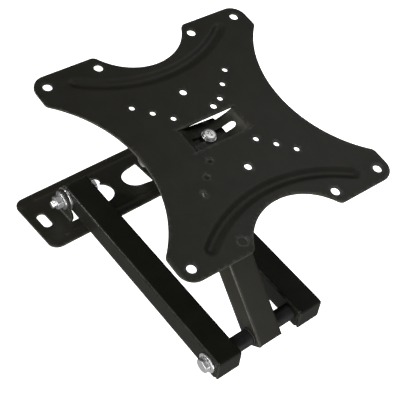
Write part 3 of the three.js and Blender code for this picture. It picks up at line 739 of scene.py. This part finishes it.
def build_wall_plate():
    half_x, half_z, corner = 40.5, 102, 11
    corners = [(-half_x, -half_z), (half_x, -half_z), (half_x, half_z), (-half_x, half_z)]
    outline = rounded([(x, z, corner) for x, z in corners], 10)
    holes = []
    for side in (-1, 1):
        holes.append(oblong(0, side * SLOT_LEVEL, 11, 4.7))
        holes.append(ear_slit(side))
        holes.append(d_opening(side))
        holes.append(circle(PIVOT_X, side * EAR_HOLE_FLAT, HOLE, 28))
    keyhole = circle(17, 18.5, 6.4, 24)
    holes.append(keyhole)
    field = grid(-40, 40, -101, 101, 3.4)
    field = field[np.abs(np.abs(field[:, 0]) - BEAD_X) > 5.2]
    bead_lines = np.concatenate([np.arange(-4.4, 4.5, 0.8) + s * BEAD_X for s in (-1, 1)])
    seeds = [mesh_grid(bead_lines, np.arange(-84, 84.1, 2.0))]
    bend = EAR_ROOT - np.linspace(-1.0, EAR_ARC + 1.0, 10)
    for side in (-1, 1):
        at_bend = (np.abs(field[:, 0] - PIVOT_X) < 15) & (np.abs(field[:, 1] * side - 68) < 4)
        field = field[~at_bend]
        seeds.append(mesh_grid(np.arange(-14, 14.1, 2.5) + PIVOT_X, side * bend))
    part = sheet(outline, holes, np.vstack([field] + seeds), wall_surface, WALL_SHEET, keep_off=0.8, edge=0.3)
    piece("wall_plate_sheet", [part], WORLD_FRAME, "wall", ["wall_plate"], PAINT, SHEET_SHARP)


# U channel arms

ARM_SHEET = 2.0
ARM_BEND = 2.6
ARM_HALF = 13.5
DEPTH_HALF = 12
ARM_CENTRE = 47.9


def channel_fold():
    return Fold([
        (-DEPTH_HALF, -ARM_HALF), (DEPTH_HALF, -ARM_HALF), (DEPTH_HALF, ARM_HALF), (-DEPTH_HALF, ARM_HALF),
    ], ARM_BEND)


def end_curve(web_radius, free_radius, web_side, free_side):
    """How far an arm's end reaches past its pivot at each depth, from the web to the free edge."""

    def reach(depth):
        base = free_side + (web_side - free_side) * (depth + DEPTH_HALF) / (2 * DEPTH_HALF)
        near_web = np.clip(depth - (DEPTH_HALF - web_radius), 0, web_radius)
        near_free = np.clip((-DEPTH_HALF + free_radius) - depth, 0, free_radius)
        cut = web_radius - np.sqrt(np.maximum(web_radius ** 2 - near_web ** 2, 0))
        cut += free_radius - np.sqrt(np.maximum(free_radius ** 2 - near_free ** 2, 0))
        return base - cut

    return reach


def end_line(fold, reach, pivot, sense):
    """One end of an arm's flat pattern, which follows its curve across the folds."""
    straight = fold.marks[1]
    ends = list(np.linspace(0, straight, 26)[:-1])
    middle = [m for m in fold.marks if straight <= m <= fold.length - straight]
    lengths = ends + middle + [fold.length - e for e in ends[::-1]]
    depth, _ = fold.at(np.array(lengths))
    return [(float(a), float(pivot + sense * reach(d))) for a, d in zip(lengths, depth)]


def build_channel(name, node, outline, holes, seeds, surface, gloss_and_painted_highlight, place, body, paint):
    part = sheet(outline, holes, seeds, surface, ARM_SHEET, keep_off=0.35, spacing=3.5, gloss_and_painted_highlight=gloss_and_painted_highlight)
    piece(name, [part], place, body, [node], paint, SHEET_SHARP)


def build_first_arm(label, side):
    fold = channel_fold()
    centre = side * ARM_CENTRE
    flap_from = FIRST_LENGTH + 14 - ARM_BEND
    flange_end = FIRST_LENGTH + 11.8
    web_half = ARM_HALF - ARM_BEND
    middle = fold.length / 2
    flap_arc = ARM_BEND * math.pi / 2
    flap_end = flap_from + flap_arc + 24 - ARM_BEND - 0.1

    def surface(u, v):
        depth, across = fold.at(u)
        past = np.clip(v - flap_from, 0, None)
        flap = (past > 0) & (np.abs(u - middle) < 13.3)
        angle = np.clip(past / flap_arc, 0, 1) * math.pi / 2
        down = np.clip(past - flap_arc, 0, None)
        x = np.where(flap, flap_from + ARM_BEND * np.sin(angle), v)
        depth = np.where(flap, DEPTH_HALF - ARM_BEND + ARM_BEND * np.cos(angle) - down, depth)
        across = np.where(flap, u - middle, across)
        return np.stack([x, depth, across + centre], axis=1)

    low = end_line(fold, end_curve(4.0, 10.0, 9.0, 10.0), 0.0, -1)
    high = [
        (fold.length, flange_end - 2), (fold.length - 2, flange_end),
        (middle + web_half + 0.3, flange_end), (middle + web_half + 0.3, flap_from + 0.9),
        (middle + 12.9, flap_from + 1.7),
        *arc(middle + 11.1, flap_end - 2, 2.0, 0, 90, 5),
        *arc(middle - 11.1, flap_end - 2, 2.0, 90, 180, 5),
        (middle - 12.9, flap_from + 1.7),
        (middle - web_half - 0.3, flap_from + 0.9), (middle - web_half - 0.3, flange_end),
        (2, flange_end), (0, flange_end - 2),
    ]
    far_flange = fold.length - DEPTH_HALF
    holes = [circle(DEPTH_HALF, 0, HOLE, 28), circle(far_flange, 0, HOLE, 28)]
    holes.append(circle(far_flange, FIRST_LENGTH, HOLE, 28))
    if side > 0:
        holes.append(circle(DEPTH_HALF, FIRST_LENGTH, HOLE, 28))
    rows = np.concatenate([
        np.arange(-6, flap_from - 1, 5.0),
        np.linspace(flap_from - 1, flap_from + flap_arc + 1, 12),
        np.arange(flap_from + flap_arc + 3, flap_end, 3.0),
    ])
    seeds = mesh_grid(fold.seeds(4.5), rows)
    build_channel(f"{label}_channel", label, low + high, holes, seeds, surface, fold.gloss_and_painted_highlight,
                  FIRST, "first_stage", SHADED_ARM_PAINT)


def build_middle_arm():
    fold = channel_fold()

    def surface(u, v):
        depth, across = fold.at(u)
        return np.stack([v, -depth, -across], axis=1)

    low = end_line(fold, end_curve(0.8, 10.0, 10.5, 10.5), 0.0, -1)
    high = end_line(fold, end_curve(3.0, 10.0, 11.0, 11.0), SECOND_LENGTH, 1)
    holes = []
    for x in (0.0, SECOND_LENGTH):
        holes.append(circle(DEPTH_HALF, x, HOLE, 28))
        holes.append(circle(fold.length - DEPTH_HALF, x, HOLE, 28))
    seeds = mesh_grid(fold.seeds(4.5), np.arange(-8, SECOND_LENGTH + 10, 5.0))
    build_channel("middle_channel", "middle_arm", low + high[::-1], holes, seeds, surface, fold.gloss_and_painted_highlight,
                  SECOND, "second_stage", PAINT)


build_wall_plate()
build_first_arm("upper_arm", 1)
build_first_arm("lower_arm", -1)
build_middle_arm()

# VESA plate

VESA_SHEET = 2.0
VESA_HALF = 112.0
STRIP_HALF = 12.3
STRIP_END = 30.5
TILT_RADIUS = 50.0
STRIP_DEPTH = 10.0
ARCH_CENTRE = 201.0
ARCH_RADIUS = 132.0
ARCH_RISE = 1.8
ARCH_HALF = 6.6
PLATE_FRAME = TILT_FRAME @ Matrix.Translation((0, (TILT_RADIUS - STRIP_DEPTH) / 1000, 0))


def vesa_outline():
    """Four concave sides, two of them deeper, between round corners."""
    corner, tip = 14.0, 6.0
    loop = []
    for quarter in range(4):
        centre, radius = (186.6, 111.6) if quarter % 2 else (134.5, 52.0)
        across = centre - VESA_HALF + tip
        height = math.sqrt((radius + tip) ** 2 - across ** 2)
        angle = math.degrees(math.atan2(height, across))
        points = arc(VESA_HALF - tip, -height, tip, 0, angle, 6)
        points += arc(centre, 0, radius, 180 + angle, 180 - angle, 40)
        points += arc(VESA_HALF - tip, height, tip, -angle, 0, 6)
        points += arc(VESA_HALF - corner, VESA_HALF - corner, corner, 0, 90, 10)
        c, s = math.cos(math.radians(quarter * 90)), math.sin(math.radians(quarter * 90))
        loop += [(x * c - y * s, x * s + y * c) for x, y in points]
    return loop


def arch_distance(u, v):
    """Distance from the middle of the nearer arched bead."""
    x = np.abs(u) - ARCH_CENTRE
    limit = math.radians(35.5)
    held = np.clip(np.arctan2(v, -x), -limit, limit)
    return np.hypot(x + ARCH_RADIUS * np.cos(held), v - ARCH_RADIUS * np.sin(held))


def vesa_surface(u, v):
    """The plate with its arched beads, and the strip pressed back on the tilt's circle."""
    y = ARCH_RISE * bead_profile(arch_distance(u, v), ARCH_HALF, 0.12)
    inner = TILT_RADIUS - VESA_SHEET / 2
    pressed = np.sqrt(np.maximum(inner ** 2 - v ** 2, 1)) - (TILT_RADIUS - STRIP_DEPTH)
    soft = 0.9
    pressed = 0.5 * (pressed + np.sqrt(pressed ** 2 + soft ** 2))
    on_strip = (np.abs(u) < STRIP_HALF + 0.2) & (np.abs(v) < STRIP_END)
    return np.stack([u, np.where(on_strip, pressed, y), v], axis=1)


def strip_painted_highlight(u, v):
    """The strip's painted highlight, with a glossier coat, growing towards its ends."""
    return np.where((np.abs(u) < STRIP_HALF) & (np.abs(v) < 30.3), np.abs(v) / 31, 0.0)


def build_vesa_plate():
    holes = []
    for sx in (-1, 1):
        slit, end = sx * (STRIP_HALF + 0.45), 30
        holes.append([(slit, -end), (slit, end), (sx * STRIP_HALF, end), (sx * STRIP_HALF, -end)])
        holes.append(circle(45 * sx, 0, 3.25, 28))
        for sz in (-1, 1):
            holes.append(circle(100 * sx, 100 * sz, 4.0, 28))
            holes.append(circle(100 * sx, 50 * sz, 4.0, 28))
            for at in (50, 37.5, 25):
                holes.append(circle(at * sx, at * sz, 2.5, 24))
    holes.append(circle(20.5, -14.4, 2.9, 24))
    holes.append(upright_oblong(0, 0, 22.6, 3.35))
    seeds = grid(-111, 111, -111, 111, 4.2)
    seeds = seeds[arch_distance(seeds[:, 0], seeds[:, 1]) > 8.2]
    seeds = seeds[~((np.abs(seeds[:, 0]) < 14) & (np.abs(seeds[:, 1]) < 33))]
    bead = []
    for sx in (-1, 1):
        for angle in np.radians(np.arange(-38.5, 38.6, 1.1)):
            for offset in np.arange(-7.5, 7.6, 1.25):
                r = ARCH_RADIUS + offset
                bead.append((sx * (ARCH_CENTRE - r * math.cos(angle)), r * math.sin(angle)))
    ends = [-31, -30, -29, -28, -27, 27, 28, 29, 30, 31]
    strip = mesh_grid([-11, -9, -7, -5, 0, 5, 7, 9, 11], np.concatenate([np.arange(-26, 26.1, 2.0), ends]))
    everything = np.vstack([seeds, np.array(bead), strip])
    part = sheet(vesa_outline(), holes, everything, vesa_surface, VESA_SHEET,
                 keep_off=0.12, edge=0.3, gloss_and_painted_highlight=strip_painted_highlight)
    piece("vesa_sheet", [part], PLATE_FRAME, "screen_plate", ["vesa_plate"], PAINT,
          SHEET_SHARP)


build_vesa_plate()

# head bracket: a C of sheet, its pad leaned back by the pad's angle

PAD_DEGREES = 8.86
PAD_FRONT = 51.3
BRACKET_SHEET = 3.0
BRACKET_HALF = 21.7
PAD_FRAME = hinge_frame(TILT, TILT_AXIS) @ Matrix.Rotation(math.radians(PAD_DEGREES), 4, "X")
TILT_LOCAL = HEAD_FRAME.inverted() @ TILT * 1000


def pad_point(out, up):
    """Depth and height of a point on the pad, out from the tilt axis and up the pad."""
    c, s = math.cos(math.radians(PAD_DEGREES)), math.sin(math.radians(PAD_DEGREES))
    return TILT_LOCAL.y + out * c - up * s, TILT_LOCAL.z + out * s + up * c


def pad_corner(out, z):
    """Where the pad reaches a height."""
    c, s = math.cos(math.radians(PAD_DEGREES)), math.sin(math.radians(PAD_DEGREES))
    return pad_point(out, (z - TILT_LOCAL.z - out * s) / c)


def build_head_bracket():
    overhang = 11
    fold = Fold([
        (overhang, BRACKET_HALF), pad_corner(PAD_FRONT, BRACKET_HALF),
        pad_corner(PAD_FRONT, -BRACKET_HALF), (overhang, -BRACKET_HALF),
    ], 4.0)
    length = fold.length

    def surface(u, v):
        y, z = fold.at(u)
        return np.stack([v, y, z], axis=1)

    half = [(0, 12, 9), (17, 12, 6), (35, 18, 6), (length - 35, 18, 6), (length - 17, 12, 6), (length, 12, 9)]
    outline = rounded([(x, -y, r) for x, y, r in half] + half[::-1])
    along = np.linspace(0, length, 4000)
    y, z = fold.at(along)
    tilt_y, tilt_z = pad_point(PAD_FRONT, 0)
    tilt_at = float(along[np.argmin((y - tilt_y) ** 2 + (z - tilt_z) ** 2)])
    holes = [circle(overhang, 0, HOLE, 28), circle(length - overhang, 0, HOLE, 28)]
    holes.append(circle(tilt_at, 0, 3.2, 24))
    seeds = mesh_grid(fold.seeds(3.5), np.arange(-16, 16.1, 4.0))
    part = sheet(outline, holes, seeds, surface, BRACKET_SHEET, keep_off=0.5, edge=0.4)
    piece("head_bracket_sheet", [part], HEAD_FRAME, "head", ["head_bracket"], PAINT,
          SHEET_SHARP)


build_head_bracket()

# fasteners

FLATS = 13.0
THREAD = 3.9
NUT_BORE = 4.2
HEAD_HEIGHT = 5.3
NUT_HEIGHT = 6.5
WASHER = 1.6
EAR_WASHER = 2.4
NYLON_RING = 1.0
GAP = 0.3
ARM_INNER = ARM_CENTRE - ARM_HALF
ARM_OUTER = ARM_CENTRE + ARM_HALF
PAST_EAR = 67.2
MATERIALS = {"zinc_plate": ZINC, "satin_black": TUBE, "nylon": NYLON}


def hex_bolt(face, tip, threads):
    """A bolt along +Z whose head ends at a face, with the last stretch threaded."""
    head = hexagon(FLATS, face - HEAD_HEIGHT, face - 0.5, chamfer_high=False)
    collar = turned(disc(5.9, 0.4, face - 0.7, face, 0.15))
    return [head, collar, threaded(THREAD, face - 1, tip, 1.25, 0.55, tip - threads)]


def hex_nut(low):
    return [hexagon(FLATS, low, low + NUT_HEIGHT, bore=NUT_BORE)]


def fastener(node, parts, place, body, slot="zinc_plate"):
    piece(f"{node}_detail", parts, place, body, [node], MATERIALS[slot], 30.0)


def build_wall_pivots():
    for label, flip in (("upper", False), ("lower", True)):
        stack = {
            "bolt": hex_bolt(ARM_INNER - GAP, 80.0, 13),
            "nut": hex_nut(PAST_EAR + WASHER + GAP),
            "outer_washer": [ring(10, HOLE, PAST_EAR, PAST_EAR + WASHER)],
            "ear_washer": [ring(12, HOLE, ARM_OUTER + GAP, ARM_OUTER + GAP + EAR_WASHER, 0.35)],
        }
        for name, parts in stack.items():
            fastener(f"wall_pivot_{name}_{label}", placed(parts, PIVOT_X, PIVOT_Y, flip), WORLD_FRAME, "wall")


def build_elbow():
    """The bolt's head stands on a washer outside the upper arm; its nut is inside the lower arm."""

    def at_elbow(node, parts, flip, slot="zinc_plate"):
        fastener(node, placed(parts, FIRST_LENGTH, 0, flip), FIRST, "first_stage", slot)

    outside = ARM_OUTER + GAP
    within = ARM_INNER + ARM_SHEET + GAP
    at_elbow("elbow_bolt", hex_bolt(-(outside + WASHER + GAP), 48.1, 12), True)
    at_elbow("elbow_nut", hex_nut(-(within + WASHER + GAP + NUT_HEIGHT)), False)
    at_elbow("elbow_washer_upper", [ring(10, HOLE, outside, outside + WASHER)], False)
    at_elbow("elbow_washer_lower", [ring(9, HOLE, within, within + WASHER)], True)
    nylon_from = ARM_HALF + GAP
    tube_from = nylon_from + NYLON_RING + GAP
    for label, flip in (("upper", False), ("lower", True)):
        tube = [ring(8.1, HOLE, tube_from, ARM_INNER - GAP, 0.4)]
        at_elbow(f"elbow_tube_{label}", tube, flip, "satin_black")
        nylon = [ring(9, HOLE, nylon_from, nylon_from + NYLON_RING, 0.3)]
        at_elbow(f"elbow_nylon_{label}", nylon, flip, "nylon")
    reach = ARM_HALF - ARM_SHEET - GAP
    for node, x in (("elbow_inner_sleeve", 0), ("head_inner_sleeve", SECOND_LENGTH)):
        fastener(node, placed([ring(7.5, HOLE, -reach, reach, 0.3)], x, 0, False), SECOND, "second_stage")


def build_head_pin():
    washer_from = BRACKET_HALF + GAP
    face = washer_from + WASHER + GAP
    fastener("head_pin", placed(hex_bolt(-face, 33.4, 11), 0, 0, True), HEAD_FRAME, "head")
    fastener("head_pin_nut", hex_nut(-(face + NUT_HEIGHT)), HEAD_FRAME, "head")
    for label, flip in (("upper", False), ("lower", True)):
        washer = [ring(9, HOLE, washer_from, washer_from + WASHER)]
        fastener(f"head_washer_{label}", placed(washer, 0, 0, flip), HEAD_FRAME, "head")
        nylon = [ring(9, HOLE, ARM_HALF + GAP, BRACKET_HALF - BRACKET_SHEET - GAP, 0.5)]
        fastener(f"head_nylon_{label}", placed(nylon, 0, 0, flip), HEAD_FRAME, "head", "nylon")


def tilt_head(back, height):
    """The tilt bolt's low dome with a cross recess, its back face at a level, drawn along -Z."""
    radius = 5.95
    recess, recess_half, recess_reach, soft = 1.1, 0.95, 3.3, 0.35

    def surface(u, v):
        r = np.hypot(u, v)
        rise = height * (0.6 + 0.4 * np.sqrt(np.clip(1 - (r / 6.05) ** 6, 0, 1)))
        arm = np.minimum(np.abs(u), np.abs(v))
        reach = np.maximum(np.abs(u), np.abs(v))
        hollow = np.clip((recess_half - arm) / soft, 0, 1) * np.clip((recess_reach - reach) / soft, 0, 1)
        return np.stack([u, -v, back - rise + recess * hollow], axis=1)

    lines = [0.2, 0.6, 0.95, 1.5, 2.2, 2.95, 3.3, 3.9, 4.5, 5.0, 5.3, 5.55]
    lines = [-x for x in lines] + lines
    cap = sheet(circle(0, 0, radius, 40), [], mesh_grid(lines, lines), surface, 1.0, keep_off=0.25, edge=0.2)
    return [cap, turned(disc(radius, 0.5, back - 1.0, back, 0.15))]


def build_tilt():
    """The tilt bolt through the strip and the pad; levels go out from the tilt axis."""
    place = PAD_FRAME @ Matrix.Rotation(math.radians(-90), 4, "X")
    hole, outer, thin = 3.2, 6.6, 1
    washer_back = 48.25
    head_back = washer_back - thin - GAP
    lock_front = 54.6
    nut_front = lock_front + thin + GAP
    nut_back = nut_front + 4.8
    shank = threaded(2.9, head_back - 0.5, nut_back + 2, 1.0, 0.4, head_back + 1)
    fastener("tilt_bolt", tilt_head(head_back, 2.6) + [shank], place, "head")
    fastener("tilt_washer_front", [ring(outer, hole, washer_back - thin, washer_back, 0.2)], place, "head")
    fastener("tilt_washer_back", [ring(outer, hole, lock_front, lock_front + thin, 0.2)], place, "head")
    fastener("tilt_nut", [hexagon(10.0, nut_front, nut_back, bore=hole)], place, "head")


build_wall_pivots()
build_elbow()
build_head_pin()
build_tilt()

# ---------------------------------------------------------------- camera, floor and light


CAMERA_PLACE = (-0.61477, -0.66790, 0.37661)
CAMERA_AIM = (-0.13433, -0.07910, -0.00417)
CAMERA_ROLL = -117.992
FLOOR_HALF = 30
FLOOR_LEVEL = -0.5


def looking(place, aim):
    return (Vector(aim) - Vector(place)).to_track_quat("-Z", "Y")


def build_camera():
    data = bpy.data.cameras.new("camera")
    data.lens = 84.05
    data.sensor_width = 36
    data.clip_end = 200
    camera = bpy.data.objects.new("camera", data)
    turn = looking(CAMERA_PLACE, CAMERA_AIM).to_matrix().to_4x4()
    roll = Matrix.Rotation(math.radians(CAMERA_ROLL), 4, "Z")
    camera.matrix_world = Matrix.Translation(CAMERA_PLACE) @ turn @ roll
    bpy.context.scene.collection.objects.link(camera)
    bpy.context.scene.camera = camera


def build_floor():
    """A white floor that casts no light or shadow on the mount, and isn't mirrored in it."""
    corners = [(-1, -1), (1, -1), (1, 1), (-1, 1)]
    mesh = bpy.data.meshes.new("floor")
    mesh.from_pydata([(x * FLOOR_HALF, y * FLOOR_HALF, FLOOR_LEVEL) for x, y in corners], [], [(0, 1, 2, 3)])
    floor = bpy.data.objects.new("floor", mesh)
    bpy.context.scene.collection.objects.link(floor)
    material, tree, shader, coords = new_material("floor")
    paper = noise(tree, coords, 6.0, 3.0)
    tree.links.new(mixed(tree, ramp(tree, paper, 0.0, 1.0), (0.93, 0.93, 0.93), (0.96, 0.96, 0.96)),
                   shader.inputs["Base Color"])
    tree.links.new(ramp(tree, paper, 0.75, 0.85), shader.inputs["Roughness"])
    shader.inputs["Emission Color"].default_value = (1, 1, 1, 1)
    shader.inputs["Emission Strength"].default_value = 1.0
    floor.data.materials.append(material)
    floor.visible_diffuse = False
    floor.visible_glossy = False
    floor.visible_shadow = False


def build_world():
    """Soft light that is stronger from one side, and plain white where the camera sees it."""
    world = bpy.data.worlds.new("studio")
    bpy.context.scene.world = world
    world.use_nodes = True
    tree = world.node_tree
    background = tree.nodes["Background"]
    background.inputs["Color"].default_value = (1, 1, 1, 1)
    direction = tree.nodes.new("ShaderNodeTexCoord")
    toward = tree.nodes.new("ShaderNodeVectorMath")
    toward.operation = "DOT_PRODUCT"
    toward.inputs[1].default_value = (-0.6, 0.5, 0.62)
    tree.links.new(direction.outputs["Generated"], toward.inputs[0])
    soft = ramp(tree, toward.outputs["Value"], 0.03, 0.5, -0.7, 0.6)
    path = tree.nodes.new("ShaderNodeLightPath")
    white = tree.nodes.new("ShaderNodeMath")
    white.operation = "MAXIMUM"
    tree.links.new(soft, white.inputs[0])
    tree.links.new(path.outputs["Is Camera Ray"], white.inputs[1])
    tree.links.new(white.outputs[0], background.inputs["Strength"])


def area_light(name, place, aim, size, power):
    data = bpy.data.lights.new(name, "AREA")
    data.size = size
    data.energy = power
    lamp = bpy.data.objects.new(name, data)
    lamp.location = place
    lamp.rotation_euler = looking(place, aim).to_euler()
    bpy.context.scene.collection.objects.link(lamp)


build_camera()
build_floor()
build_world()
area_light("overhead", (-0.7, -0.3, 1.7), (-0.15, -0.1, 0), 1.3, 40)
area_light("front", (-0.08, -1.77, -1.30), (-0.15, -0.15, 0), 0.9, 5.2)
area_light("fill", (0.13, -1.6, 0.83), (-0.1, -0.1, 0), 0.4, 7)
area_light("edge", (0.82, -0.85, 1.16), (-0.15, -0.1, 0), 0.25, 12)
area_light("left", (-2.0, 0.4, 0.0), (-0.15, -0.1, 0), 0.9, 24)
bpy.context.scene.view_settings.view_transform = "Standard"
bpy.context.scene.view_settings.look = "None"
